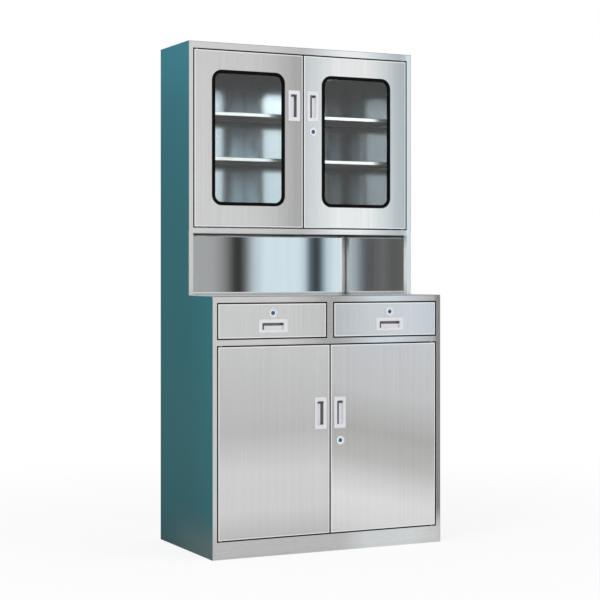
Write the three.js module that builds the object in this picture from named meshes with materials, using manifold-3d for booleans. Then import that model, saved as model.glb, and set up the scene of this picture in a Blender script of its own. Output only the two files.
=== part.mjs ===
// Glass door medical cabinet: a folded steel cupboard with a glazed upper unit set back on a deeper base.
// Millimetres, +Z up, front towards -Y. The origin is the middle of the overall footprint, on the floor.
import * as THREE from "three";
import { mergeVertices } from "three/addons/utils/BufferGeometryUtils.js";
import Module from "manifold-3d";

const wasm = await Module();
wasm.setup();

// Overall sizes
const WIDTH = 900;
const HEIGHT = 1800;
const BASE_HEIGHT = 900; // floor to worktop
const BASE_DEPTH = 490; // wall to the drawers' face
const UPPER_DEPTH = 275; // wall to the glass doors' face

// Sheet metal and clearances
const SHEET = 1; // thickness of every folded sheet
const FIT = 0.3; // gap left between pieces that are seated on one another
const RUN = 1; // side gap between a tray and its runners
const RUN_UP = 0.5; // gap between a tray's lip and the runner below it
const PAN_LIP = 15; // folded edge of the fixed panels
const FOOT_FLANGE = 25; // edge folded in at the bottom of the side panels

// Face frames
const POST_WIDTH = 18;
const TOP_RAIL = 25;
const MID_RAIL = 20;
const NICHE_HEIGHT = 220;
const WORKTOP_RAIL = 23;
const DRAWER_OPENING = 126;
const DRAWER_RAIL = 21;
const PLINTH = 60;
const MULLION = 25;
const JAMB_DEPTH = 20; // how far the frame's edges fold back
const STOP_REACH = 9; // door stop tab, into the opening
const STOP_LENGTH = 120;
const STOP_GAP = 1.5; // from a door's back to its stop tab

// Doors
const DOOR_GAP = 3; // reveal between a door or drawer and the frame
const CENTRE_GAP = 3; // between the two doors of a pair
const DOOR_THICKNESS = 20;
const LINER_LIP = 7; // folded edge of a door's inner sheet
const PIVOT_INSET = 13; // pin axis from the door's hinge edge
const PIVOT_DEPTH = 8; // pin axis behind the door's face
const PIN_RADIUS = 3;
const PIN_COLLAR = 5; // radius
const PIN_SEAT = 14; // length of pin inside the door
const PIN_REACH = 4; // length of pin past the frame's sheet

// Glazing
const WINDOW_RADIUS = 38; // outer corner of the gasket
const WINDOW_EDGE = 73.5; // door's free edge to the gasket
const WINDOW_HINGE_EDGE = 68; // door's hinge edge to the gasket
const WINDOW_SILL = 77; // door's bottom edge to the gasket
const WINDOW_HEAD = 69; // door's top edge to the gasket
const GASKET_BAND = 12; // visible width of the black rubber
const GASKET_GRIP = 4; // rubber over the steel's cut edge
const GASKET_WEB = 2.5; // rubber between steel and glass
const GASKET_FRONT = 2.5; // how far the rubber stands proud
const GASKET_LIP = 2; // rubber behind the glass
const GLASS_THICKNESS = 4;
const LINER_MARGIN = 16; // inner sheet's cut-out beyond the gasket
const LINER_CORNER = 8; // corner radius of that cut-out

// Recessed pulls, upright: the finger trench runs along the hook side and across one end
const PULL_WIDTH = 46;
const PULL_LENGTH = 111;
const PULL_BEZEL = 2; // thickness of the rim on the door's face
const PULL_CORNER = 2.5; // rim corner radius
const PULL_HOOK_RIM = 12; // rim width on the hook side
const PULL_FAR_RIM = 10;
const PULL_END_RIM = 14;
const PULL_FLOOR = 5; // depth of the raised floor
const PULL_TRENCH = 14; // depth of the trench
const PULL_TRENCH_WIDTH = 10;
const PULL_END_TRENCH = 9;
const PULL_UNDERCUT = 3; // trench behind the hook rim
const PULL_WALL = 1.5;
const PULL_EDGE = 36.5; // door's free edge to the pull's middle
const UPPER_PULL_DROP = 185; // door's top edge to the pull's middle
const BASE_PULL_DROP = 240;
const DRAWER_PULL_RISE = 42; // drawer's bottom edge to the pull's middle

// Cam locks
const LOCK_FLANGE = 3; // thickness
const LOCK_FLANGE_RADIUS = 15;
const BARREL_RADIUS = 9.5;
const CORE_RADIUS = 7.5;
const CORE_RECESS = 0.8; // core behind the flange's face
const BARREL_PAST = 2; // barrel past the door's back
const KEYWAY_LENGTH = 9;
const KEYWAY_WIDTH = 2;
const KEYWAY_DEPTH = 8;
const CAM_THICKNESS = 3;
const CAM_WIDTH = 14;
const CAM_CATCH = 9; // cam past the edge that it locks behind
const LOCK_EDGE = 38.5; // door's free edge to the lock
const UPPER_LOCK_DROP = 277; // door's top edge to the lock
const BASE_LOCK_DROP = 338.5;
const DRAWER_LOCK_DROP = 33; // drawer's top edge to the lock
const RIGHT_DRAWER_SHIFT = 17; // right drawer's pull and lock, right of its middle

// Shelves
const SHELF_LIP = 12;
const SHELF_SETBACK = 45; // face of the unit to the shelf's front edge
const SHELF_BACK_GAP = 3;
const SHELF_SIDE_GAP = 2;
const UPPER_SHELF_DROPS = [379, 217]; // head of the door opening to each shelf's top
const BASE_SHELF_DROP = 335;
const LEDGE_WIDTH = 15; // ledge under a shelf's side
const LEDGE_LENGTH = 180;
const LEDGE_DROP = 25; // upright leg of the base's ledges
const STRIP_WIDTH = 40; // upright strip that carries the upper ledges

// Drawers
const TRAY_SIDE_GAP = 9.75; // drawer opening's edge to the tray's side
const TRAY_BACK_GAP = 68.7; // tray to the back panel
const TRAY_HEIGHT = 65;
const TRAY_LIFT = 8; // drawer opening's bottom to the tray
const TRAY_LIP = 8; // folded out at the top, rides in the runners
const FRONT_LIP = 12; // edge folded in at the back of a drawer front
const RUNNER_HEIGHT = 14;
const RUNNER_BACK_GAP = 48.7; // runner to the back panel
const PARTITION_FOOT = 15;

// Smoothness of round shapes
const CORNER_STEPS = 5; // steps in a quarter turn of a window's corner
const ROUND_STEPS = 16; // steps in a full turn of a pin or a lock
const PAST = 1; // how far a cut runs past the material

// Planes and levels that several pieces share
const proud = LOCK_FLANGE + FIT;
const wallY = (BASE_DEPTH + proud) / 2;
const baseFaceY = wallY - BASE_DEPTH;
const upperFaceY = wallY - UPPER_DEPTH;
const sideInner = WIDTH / 2 - SHEET;
const panelHalf = sideInner - FIT;
const panelBackY = wallY - SHEET - FIT;
const openingHalf = WIDTH / 2 - POST_WIDTH;
const nicheTop = BASE_HEIGHT + NICHE_HEIGHT;
const upperOpening = [nicheTop + MID_RAIL, HEIGHT - TOP_RAIL];
const drawerTop = BASE_HEIGHT - WORKTOP_RAIL;
const drawerOpening = [drawerTop - DRAWER_OPENING, drawerTop];
const baseOpening = [PLINTH, drawerOpening[0] - DRAWER_RAIL];
const leafWidth = openingHalf - DOOR_GAP - CENTRE_GAP / 2;
const pivotX = openingHalf - DOOR_GAP - PIVOT_INSET;
const freeEdge = leafWidth - PIVOT_INSET; // from the pin's axis
const drawerMiddle = (openingHalf + MULLION / 2) / 2;
const drawerHalf = (openingHalf - MULLION / 2) / 2 - DOOR_GAP;
const trayHalf = drawerHalf + DOOR_GAP - TRAY_SIDE_GAP;

// Looks
const steel = new THREE.MeshStandardMaterial({ color: 0xc3c7ca, metalness: 0.9, roughness: 0.38 });
const zinc = new THREE.MeshStandardMaterial({ color: 0x9aa0a4, metalness: 0.85, roughness: 0.5 });
const teal = new THREE.MeshStandardMaterial({ color: 0x3d7983, metalness: 0.2, roughness: 0.45 });
const rubber = new THREE.MeshStandardMaterial({ color: 0x0b0c0d, metalness: 0, roughness: 0.7 });
const clearGlass = new THREE.MeshStandardMaterial({
  color: 0xdfeeee,
  metalness: 0,
  roughness: 0.05,
  transparent: true,
  opacity: 0.2,
});
const silverPlastic = new THREE.MeshStandardMaterial({ color: 0xe6e8ec, metalness: 0.1, roughness: 0.4 });
const chrome = new THREE.MeshStandardMaterial({ color: 0xe4e8ee, metalness: 1, roughness: 0.12 });
const lockSteel = new THREE.MeshStandardMaterial({ color: 0x4f6a92, metalness: 0.9, roughness: 0.25 });

// A closed geometry as a solid that can be joined and cut
function solid(geometry) {
  geometry.deleteAttribute("normal");
  geometry.deleteAttribute("uv");
  const merged = mergeVertices(geometry, 1e-4);
  return new wasm.Manifold(
    new wasm.Mesh({
      numProp: 3,
      vertProperties: merged.attributes.position.array,
      triVerts: new Uint32Array(merged.index.array),
    }),
  );
}

// Names a solid and hangs it in the scene, with a material of its own
function addPiece(parent, name, made, material) {
  const { vertProperties, triVerts } = made.getMesh();
  const geometry = new THREE.BufferGeometry();
  geometry.setAttribute("position", new THREE.BufferAttribute(vertProperties, 3));
  geometry.setIndex(new THREE.BufferAttribute(triVerts, 1));
  const faceted = geometry.toNonIndexed();
  faceted.computeVertexNormals();
  const mesh = new THREE.Mesh(faceted, material.clone());
  mesh.name = name;
  parent.add(mesh);
}

function addGroup(parent, x, y, z) {
  const group = new THREE.Group();
  group.position.set(x, y, z);
  parent.add(group);
  return group;
}

function joined(...solids) {
  return solids.reduce((whole, next) => whole.add(next));
}

// From a to b along X, measured towards +X or, with hand -1, towards -X
function span(hand, a, b) {
  return hand > 0 ? [a, b] : [-b, -a];
}

function block([x0, x1], [y0, y1], [z0, z1]) {
  const box = new THREE.BoxGeometry(x1 - x0, y1 - y0, z1 - z0);
  box.translate((x0 + x1) / 2, (y0 + y1) / 2, (z0 + z1) / 2);
  return solid(box);
}

// An outline drawn in X and Z, as a plate from y0 back to y1
function plate(outline, [y0, y1]) {
  const made = new THREE.ExtrudeGeometry(outline, {
    depth: y1 - y0,
    bevelEnabled: false,
    curveSegments: CORNER_STEPS,
  });
  made.rotateX(Math.PI / 2);
  made.translate(0, y1, 0);
  return solid(made);
}

function roundedRectangle([x0, x1], [z0, z1], radius) {
  const outline = new THREE.Shape();
  outline.absarc(x1 - radius, z0 + radius, radius, -Math.PI / 2, 0);
  outline.absarc(x1 - radius, z1 - radius, radius, 0, Math.PI / 2);
  outline.absarc(x0 + radius, z1 - radius, radius, Math.PI / 2, Math.PI);
  outline.absarc(x0 + radius, z0 + radius, radius, Math.PI, 1.5 * Math.PI);
  return outline;
}

// A round bar along Y, through the door's or the drawer's face
function barAcross(radius, x, z, [y0, y1]) {
  const bar = new THREE.CylinderGeometry(radius, radius, y1 - y0, ROUND_STEPS);
  bar.translate(x, (y0 + y1) / 2, z);
  return solid(bar);
}

// A round bar along Z, for a pin's hole
function barUpright(radius, x, y, [z0, z1]) {
  const bar = new THREE.CylinderGeometry(radius, radius, z1 - z0, ROUND_STEPS);
  bar.rotateX(Math.PI / 2);
  bar.translate(x, y, (z0 + z1) / 2);
  return solid(bar);
}

// A flat panel with its edges folded down
function pan([x0, x1], [y0, y1], top, lip) {
  const inside = block(
    [x0 + SHEET, x1 - SHEET],
    [y0 + SHEET, y1 - SHEET],
    [top - lip - PAST, top - SHEET],
  );
  return block([x0, x1], [y0, y1], [top - lip, top]).subtract(inside);
}

// The edge folded back round an opening in a face frame
function jamb([x0, x1], faceY, [z0, z1]) {
  const outside = block(
    [x0 - SHEET, x1 + SHEET],
    [faceY, faceY + JAMB_DEPTH],
    [z0 - SHEET, z1 + SHEET],
  );
  return outside.subtract(through([x0, x1], faceY, [z0, z1]));
}

// The cut for an opening, through the whole depth of a face frame
function through([x0, x1], faceY, [z0, z1]) {
  return block([x0, x1], [faceY - PAST, faceY + JAMB_DEPTH + PAST], [z0, z1]);
}

// Tab hung from the head of an opening, behind the meeting edges of its pair of doors
function doorStop(faceY, [, head]) {
  const tabY = faceY + DOOR_THICKNESS + STOP_GAP;
  const across = [-STOP_LENGTH / 2, STOP_LENGTH / 2];
  return joined(
    block(across, [faceY + JAMB_DEPTH - SHEET, tabY + SHEET], [head, head + SHEET]),
    block(across, [tabY, tabY + SHEET], [head - STOP_REACH, head + SHEET]),
  );
}

// Holes for the pins of a pair of doors, in the frame's head and sill
function pinHoles(faceY, [z0, z1]) {
  const holes = [];
  for (const x of [-pivotX, pivotX]) {
    for (const z of [z0 - SHEET, z1]) {
      const ends = [z - PAST, z + SHEET + PAST];
      holes.push(barUpright(PIN_RADIUS + FIT, x, faceY + PIVOT_DEPTH, ends));
    }
  }
  return joined(...holes);
}

// Edges folded back down the two outer sides of a face frame
function outerFolds(faceY, [z0, z1]) {
  const depth = [faceY, faceY + JAMB_DEPTH];
  return joined(
    block([-panelHalf, -panelHalf + SHEET], depth, [z0, z1]),
    block([panelHalf - SHEET, panelHalf], depth, [z0, z1]),
  );
}

const cabinet = new THREE.Group();

// Side panels: one sheet each from floor to top, stepped back above the worktop, with a foot folded in
for (const [name, hand] of [["left_side_panel", -1], ["right_side_panel", 1]]) {
  const across = span(hand, sideInner, WIDTH / 2);
  const base = block(across, [baseFaceY, wallY], [0, BASE_HEIGHT]);
  const upper = block(across, [upperFaceY, wallY], [BASE_HEIGHT - PAST, HEIGHT]);
  const foot = block(
    span(hand, sideInner - FOOT_FLANGE, sideInner + SHEET),
    [baseFaceY + JAMB_DEPTH + FIT, panelBackY],
    [0, SHEET],
  );
  addPiece(cabinet, name, joined(base, upper, foot), teal);
}

// Back and horizontal panels
const panelAcross = [-panelHalf, panelHalf];
const behindUpperFrame = [upperFaceY + JAMB_DEPTH + FIT, panelBackY];
const behindBaseFrame = [baseFaceY + JAMB_DEPTH + FIT, panelBackY];
addPiece(cabinet, "back_panel", block(panelAcross, [wallY - SHEET, wallY], [0, HEIGHT]), steel);
addPiece(
  cabinet,
  "top_panel",
  pan(panelAcross, [upperFaceY + SHEET + FIT, panelBackY], HEIGHT, PAN_LIP),
  steel,
);
addPiece(cabinet, "upper_floor_panel", pan(panelAcross, behindUpperFrame, upperOpening[0], PAN_LIP), steel);
addPiece(
  cabinet,
  "worktop_panel",
  pan(panelAcross, [baseFaceY + SHEET + FIT, panelBackY], BASE_HEIGHT, PAN_LIP),
  steel,
);
addPiece(cabinet, "drawer_deck", pan(panelAcross, behindBaseFrame, drawerOpening[0], PAN_LIP), steel);
addPiece(cabinet, "base_floor_panel", pan(panelAcross, behindBaseFrame, baseOpening[0], PAN_LIP), steel);

// Partition between the drawers, standing on the deck and reaching up to the worktop
const partitionY = [baseFaceY + JAMB_DEPTH + FIT, panelBackY - SHEET - FIT];
const partitionFoot = drawerOpening[0] + FIT;
addPiece(
  cabinet,
  "drawer_partition",
  joined(
    block([-SHEET / 2, SHEET / 2], partitionY, [partitionFoot, BASE_HEIGHT - SHEET - FIT]),
    block([-SHEET / 2, PARTITION_FOOT], partitionY, [partitionFoot, partitionFoot + SHEET]),
  ),
  steel,
);

// Face frame of the glazed unit: the door opening over a niche that is open down to the worktop
const frameFoot = BASE_HEIGHT + FIT;
const openingAcross = [-openingHalf, openingHalf];
const nicheJamb = block(
  [-openingHalf - SHEET, openingHalf + SHEET],
  [upperFaceY, upperFaceY + JAMB_DEPTH],
  [frameFoot, nicheTop + SHEET],
);
addPiece(
  cabinet,
  "upper_face_frame",
  joined(
    block(panelAcross, [upperFaceY, upperFaceY + SHEET], [frameFoot, HEIGHT])
      .subtract(through(openingAcross, upperFaceY, upperOpening)),
    jamb(openingAcross, upperFaceY, upperOpening),
    nicheJamb,
    outerFolds(upperFaceY, [frameFoot, HEIGHT - PAN_LIP - FIT]),
    doorStop(upperFaceY, upperOpening),
  )
    .subtract(through(openingAcross, upperFaceY, [frameFoot - PAST, nicheTop]))
    .subtract(pinHoles(upperFaceY, upperOpening)),
  steel,
);

// Face frame of the base: two drawer openings, the door opening and the plinth with its foot
const drawerOpenings = [-1, 1].map((hand) => span(hand, MULLION / 2, openingHalf));
const baseFace = block(panelAcross, [baseFaceY, baseFaceY + SHEET], [0, BASE_HEIGHT])
  .subtract(through(openingAcross, baseFaceY, baseOpening))
  .subtract(through(drawerOpenings[0], baseFaceY, drawerOpening))
  .subtract(through(drawerOpenings[1], baseFaceY, drawerOpening));
addPiece(
  cabinet,
  "base_face_frame",
  joined(
    baseFace,
    jamb(openingAcross, baseFaceY, baseOpening),
    jamb(drawerOpenings[0], baseFaceY, drawerOpening),
    jamb(drawerOpenings[1], baseFaceY, drawerOpening),
    outerFolds(baseFaceY, [0, BASE_HEIGHT - PAN_LIP - FIT]),
    block(panelAcross, [baseFaceY, baseFaceY + JAMB_DEPTH], [0, SHEET]),
    doorStop(baseFaceY, baseOpening),
  ).subtract(pinHoles(baseFaceY, baseOpening)),
  steel,
);

// Shelves, each a pan whose sides rest on ledges
const shelfHalf = sideInner - SHELF_SIDE_GAP;
const shelfBackY = wallY - SHEET - SHELF_BACK_GAP;
function addShelf(name, faceY, top) {
  const made = pan([-shelfHalf, shelfHalf], [faceY + SHELF_SETBACK, shelfBackY], top, SHELF_LIP);
  addPiece(cabinet, name, made, steel);
}

// A ledge on one side, flat under the shelf whose top is given
function ledge(hand, middleY, carried) {
  const top = carried - SHELF_LIP - FIT;
  return block(
    span(hand, panelHalf - LEDGE_WIDTH, panelHalf),
    [middleY - LEDGE_LENGTH / 2, middleY + LEDGE_LENGTH / 2],
    [top - SHEET, top],
  );
}

const upperShelfTops = UPPER_SHELF_DROPS.map((drop) => upperOpening[1] - drop);
const baseShelfTop = baseOpening[1] - BASE_SHELF_DROP;
addShelf("upper_shelf_bottom", upperFaceY, upperShelfTops[0]);
addShelf("upper_shelf_top", upperFaceY, upperShelfTops[1]);
addShelf("base_shelf", baseFaceY, baseShelfTop);
const upperMiddleY = (upperFaceY + SHELF_SETBACK + shelfBackY) / 2;
const baseMiddleY = (baseFaceY + SHELF_SETBACK + shelfBackY) / 2;
const upperLedgeTop = upperShelfTops[1] - SHELF_LIP - FIT;
for (const [side, hand] of [["left", -1], ["right", 1]]) {
  const leg = span(hand, panelHalf - SHEET, panelHalf);
  const strip = block(
    leg,
    [upperMiddleY - STRIP_WIDTH / 2, upperMiddleY + STRIP_WIDTH / 2],
    [upperOpening[0] + FIT, upperLedgeTop],
  );
  const ledges = upperShelfTops.map((top) => ledge(hand, upperMiddleY, top));
  addPiece(cabinet, `upper_${side}_shelf_support`, joined(strip, ...ledges), zinc);
  const ledgeTop = baseShelfTop - SHELF_LIP - FIT;
  const upright = block(
    leg,
    [baseMiddleY - LEDGE_LENGTH / 2, baseMiddleY + LEDGE_LENGTH / 2],
    [ledgeTop - LEDGE_DROP, ledgeTop],
  );
  const flat = ledge(hand, baseMiddleY, baseShelfTop);
  addPiece(cabinet, `base_${side}_shelf_ledge`, joined(upright, flat), zinc);
}

// Runners: channels on the side panels and on the partition, open towards the tray's lip
const trayTop = drawerOpening[0] + TRAY_LIFT + TRAY_HEIGHT;
const runnerFoot = trayTop - SHEET - RUN_UP - SHEET;
const runnerDepth = [baseFaceY + JAMB_DEPTH + FIT, wallY - SHEET - RUNNER_BACK_GAP];
function addRunner(name, web, tip) {
  const across = [Math.min(web, tip), Math.max(web, tip)];
  const hollow = web < tip ? [web + SHEET, tip + PAST] : [tip - PAST, web - SHEET];
  const made = block(across, runnerDepth, [runnerFoot, runnerFoot + RUNNER_HEIGHT]).subtract(
    block(
      hollow,
      [runnerDepth[0] - PAST, runnerDepth[1] + PAST],
      [runnerFoot + SHEET, runnerFoot + RUNNER_HEIGHT - SHEET],
    ),
  );
  addPiece(cabinet, name, made, zinc);
}
for (const [side, hand] of [["left", -1], ["right", 1]]) {
  const outerTip = drawerMiddle + trayHalf + RUN;
  const innerTip = drawerMiddle - trayHalf - RUN;
  addRunner(`${side}_drawer_outer_runner`, hand * panelHalf, hand * outerTip);
  addRunner(`${side}_drawer_inner_runner`, hand * (SHEET / 2 + FIT), hand * innerTip);
}

// Recessed pull, upright, its middle on the door's face.
// Hand 1 has its hook side towards +X, and hand -1 towards -X.
const pullOpeningX = [PULL_FAR_RIM - PULL_WIDTH / 2, PULL_WIDTH / 2 - PULL_HOOK_RIM];
const pullOpeningZ = [PULL_END_RIM - PULL_LENGTH / 2, PULL_LENGTH / 2 - PULL_END_RIM];
const cupX = [pullOpeningX[0] - PULL_WALL, pullOpeningX[1] + PULL_UNDERCUT + PULL_WALL];
const cupZ = [pullOpeningZ[0] - PULL_WALL, pullOpeningZ[1] + PULL_WALL];
function recessedPull(hand) {
  const mouth = [-FIT - PULL_BEZEL - PAST, PULL_FLOOR];
  const deep = [PULL_FLOOR - PAST, PULL_TRENCH];
  const trenchX = [pullOpeningX[1] - PULL_TRENCH_WIDTH, pullOpeningX[1] + PULL_UNDERCUT];
  const endTrenchZ = [pullOpeningZ[1] - PULL_END_TRENCH, pullOpeningZ[1]];
  return joined(
    plate(
      roundedRectangle(
        [-PULL_WIDTH / 2, PULL_WIDTH / 2],
        [-PULL_LENGTH / 2, PULL_LENGTH / 2],
        PULL_CORNER,
      ),
      [-FIT - PULL_BEZEL, -FIT],
    ),
    block(span(hand, ...cupX), [-FIT - PULL_WALL, PULL_TRENCH + PULL_WALL], cupZ),
  )
    .subtract(block(span(hand, ...pullOpeningX), mouth, pullOpeningZ))
    .subtract(block(span(hand, ...trenchX), deep, pullOpeningZ))
    .subtract(block(span(hand, ...pullOpeningX), deep, endTrenchZ));
}

// Fixed barrel of a cam lock, its flange against the face and its middle at the origin
const coreFront = -FIT - LOCK_FLANGE + CORE_RECESS;
const barrelBack = DOOR_THICKNESS + BARREL_PAST;
const camDepth = [barrelBack + FIT, barrelBack + FIT + CAM_THICKNESS];
function lockBarrel() {
  const bore = CORE_RADIUS + FIT;
  const profile = [
    [LOCK_FLANGE_RADIUS, -FIT - LOCK_FLANGE],
    [LOCK_FLANGE_RADIUS, -FIT],
    [BARREL_RADIUS, -FIT],
    [BARREL_RADIUS, barrelBack],
    [bore, barrelBack],
    [bore, -FIT - LOCK_FLANGE],
    [LOCK_FLANGE_RADIUS, -FIT - LOCK_FLANGE],
  ];
  const points = profile.map(([radius, y]) => new THREE.Vector2(radius, y));
  return solid(new THREE.LatheGeometry(points, ROUND_STEPS));
}

// Turning core with its keyway, and the cam that points down from its back end
function lockCore(camLength) {
  const keyway = block(
    [-KEYWAY_WIDTH / 2, KEYWAY_WIDTH / 2],
    [coreFront - PAST, coreFront + KEYWAY_DEPTH],
    [-KEYWAY_LENGTH / 2, KEYWAY_LENGTH / 2],
  );
  const half = CAM_WIDTH / 2;
  const cam = roundedRectangle([-half, half], [-camLength, half], half - FIT);
  return joined(
    barAcross(CORE_RADIUS, 0, 0, [coreFront, camDepth[1]]),
    plate(cam, camDepth),
  ).subtract(keyway);
}

function addLock(parent, name, x, z, camLength, turn) {
  const lock = addGroup(parent, x, 0, z);
  addPiece(lock, `${name}_lock_barrel`, lockBarrel(), chrome);
  const turned = addGroup(lock, 0, 0, 0);
  turned.rotation.y = turn;
  addPiece(turned, `${name}_lock_core`, lockCore(camLength), lockSteel);
}

function addPull(parent, name, x, z, hand, turn) {
  const pull = addGroup(parent, x, 0, z);
  pull.rotation.y = turn;
  addPiece(pull, `${name}_pull`, recessedPull(hand), silverPlastic);
}

// Cuts in a face for a pull and for a lock
function pullCut(x, z, acrossX, acrossZ) {
  return block(
    [x + acrossX[0] - FIT, x + acrossX[1] + FIT],
    [-PAST, SHEET + PAST],
    [z + acrossZ[0] - FIT, z + acrossZ[1] + FIT],
  );
}

function lockCut(x, z) {
  return barAcross(BARREL_RADIUS + FIT, x, z, [-PAST, DOOR_THICKNESS + PAST]);
}

// Hinge pin, standing on the door's edge at z = 0 and reaching up through the frame's sheet
function hingePin() {
  const collarTop = DOOR_GAP - FIT;
  const profile = [
    [0, -PIN_SEAT],
    [PIN_RADIUS, -PIN_SEAT],
    [PIN_RADIUS, FIT],
    [PIN_COLLAR, FIT],
    [PIN_COLLAR, collarTop],
    [PIN_RADIUS, collarTop],
    [PIN_RADIUS, DOOR_GAP + SHEET + PIN_REACH],
    [0, DOOR_GAP + SHEET + PIN_REACH],
  ];
  const points = profile.map(([radius, z]) => new THREE.Vector2(radius, z));
  const pin = new THREE.LatheGeometry(points, ROUND_STEPS);
  pin.rotateX(Math.PI / 2);
  return solid(pin);
}

// Window outline, drawn in from the gasket's outer edge
function windowOutline({ x, z }, inset, radius = WINDOW_RADIUS - inset) {
  return roundedRectangle([x[0] + inset, x[1] - inset], [z[0] + inset, z[1] - inset], radius);
}

function windowRing(pane, outer, inner, [y0, y1]) {
  const hole = plate(windowOutline(pane, inner), [y0 - PAST, y1 + PAST]);
  return plate(windowOutline(pane, outer), [y0, y1]).subtract(hole);
}

// Rubber round the glass: it grips the steel's cut edge outside and the pane inside
function gasket(pane) {
  const webStart = GASKET_GRIP + FIT;
  const webEnd = webStart + GASKET_WEB;
  const paneBack = GLASS_THICKNESS + FIT;
  const rubberBack = paneBack + GASKET_LIP;
  return joined(
    windowRing(pane, webStart, webEnd, [-GASKET_FRONT, rubberBack]),
    windowRing(pane, 0, GASKET_BAND, [-GASKET_FRONT, -FIT]),
    windowRing(pane, 0, webEnd, [SHEET + FIT, rubberBack]),
    windowRing(pane, webStart, GASKET_BAND, [paneBack, rubberBack]),
  );
}

// A door leaf. Its group sits on the pin's axis, at the door's face and bottom edge.
// Hand 1 is a left door, whose free edge lies towards +X, and hand -1 a right door.
function addDoor({ name, hand, faceY, opening, pullDrop, lockDrop, glazed }) {
  const height = opening[1] - opening[0] - 2 * DOOR_GAP;
  const door = addGroup(cabinet, -hand * pivotX, faceY, opening[0] + DOOR_GAP);
  const leafX = span(hand, -PIVOT_INSET, freeEdge);
  const insideX = [leafX[0] + SHEET, leafX[1] - SHEET];
  const linerX = [insideX[0] + FIT, insideX[1] - FIT];
  const linerZ = [SHEET + FIT, height - SHEET - FIT];
  const pullX = hand * (freeEdge - PULL_EDGE);
  const pullZ = height - pullDrop;

  // Outer sheet, folded back on all four edges
  let skin = block(leafX, [0, DOOR_THICKNESS], [0, height])
    .subtract(block(insideX, [SHEET, DOOR_THICKNESS + PAST], [SHEET, height - SHEET]))
    .subtract(pullCut(pullX, pullZ, span(hand, ...cupX), cupZ));
  for (const z of [0, height]) {
    const ends = [z - SHEET - PAST, z + SHEET + PAST];
    skin = skin.subtract(barUpright(PIN_RADIUS + FIT, 0, PIVOT_DEPTH, ends));
  }

  // Inner sheet, set into the outer one with its edges folded forward
  let liner = block(linerX, [DOOR_THICKNESS - LINER_LIP, DOOR_THICKNESS], linerZ).subtract(
    block(
      [linerX[0] + SHEET, linerX[1] - SHEET],
      [DOOR_THICKNESS - LINER_LIP - PAST, DOOR_THICKNESS - SHEET],
      [linerZ[0] + SHEET, linerZ[1] - SHEET],
    ),
  );
  if (glazed) {
    const pane = {
      x: span(hand, WINDOW_HINGE_EDGE - PIVOT_INSET, freeEdge - WINDOW_EDGE),
      z: [WINDOW_SILL, height - WINDOW_HEAD],
    };
    const collarY = [SHEET + FIT, DOOR_THICKNESS];
    skin = skin.subtract(plate(windowOutline(pane, GASKET_GRIP), [-PAST, SHEET + PAST]));
    const collar = windowOutline(pane, -LINER_MARGIN - SHEET, LINER_CORNER + SHEET);
    const cutOut = windowOutline(pane, -LINER_MARGIN, LINER_CORNER);
    liner = liner
      .add(plate(collar, collarY))
      .subtract(plate(cutOut, [-PAST, DOOR_THICKNESS + PAST]));
    const paneInset = GASKET_GRIP + FIT + GASKET_WEB + FIT;
    addPiece(door, `${name}_gasket`, gasket(pane), rubber);
    addPiece(
      door,
      `${name}_glass`,
      plate(windowOutline(pane, paneInset), [0, GLASS_THICKNESS]),
      clearGlass,
    );
  }
  if (lockDrop) {
    const lockX = hand * (freeEdge - LOCK_EDGE);
    const lockZ = height - lockDrop;
    skin = skin.subtract(lockCut(lockX, lockZ));
    liner = liner.subtract(lockCut(lockX, lockZ));
    addLock(door, name, lockX, lockZ, LOCK_EDGE + CENTRE_GAP + CAM_CATCH, 0);
  }
  addPiece(door, `${name}_skin`, skin, steel);
  addPiece(door, `${name}_liner`, liner, steel);
  addPull(door, name, pullX, pullZ, hand, 0);

  const topPin = addGroup(door, 0, PIVOT_DEPTH, height);
  addPiece(topPin, `${name}_top_pin`, hingePin(), zinc);
  const bottomPin = addGroup(door, 0, PIVOT_DEPTH, 0);
  bottomPin.rotation.x = Math.PI;
  addPiece(bottomPin, `${name}_bottom_pin`, hingePin(), zinc);
}

const upperDoor = { faceY: upperFaceY, opening: upperOpening, pullDrop: UPPER_PULL_DROP, glazed: true };
const baseDoor = { faceY: baseFaceY, opening: baseOpening, pullDrop: BASE_PULL_DROP, glazed: false };
addDoor({ ...upperDoor, name: "upper_left_door", hand: 1 });
addDoor({ ...upperDoor, name: "upper_right_door", hand: -1, lockDrop: UPPER_LOCK_DROP });
addDoor({ ...baseDoor, name: "base_left_door", hand: 1 });
addDoor({ ...baseDoor, name: "base_right_door", hand: -1, lockDrop: BASE_LOCK_DROP });

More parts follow.
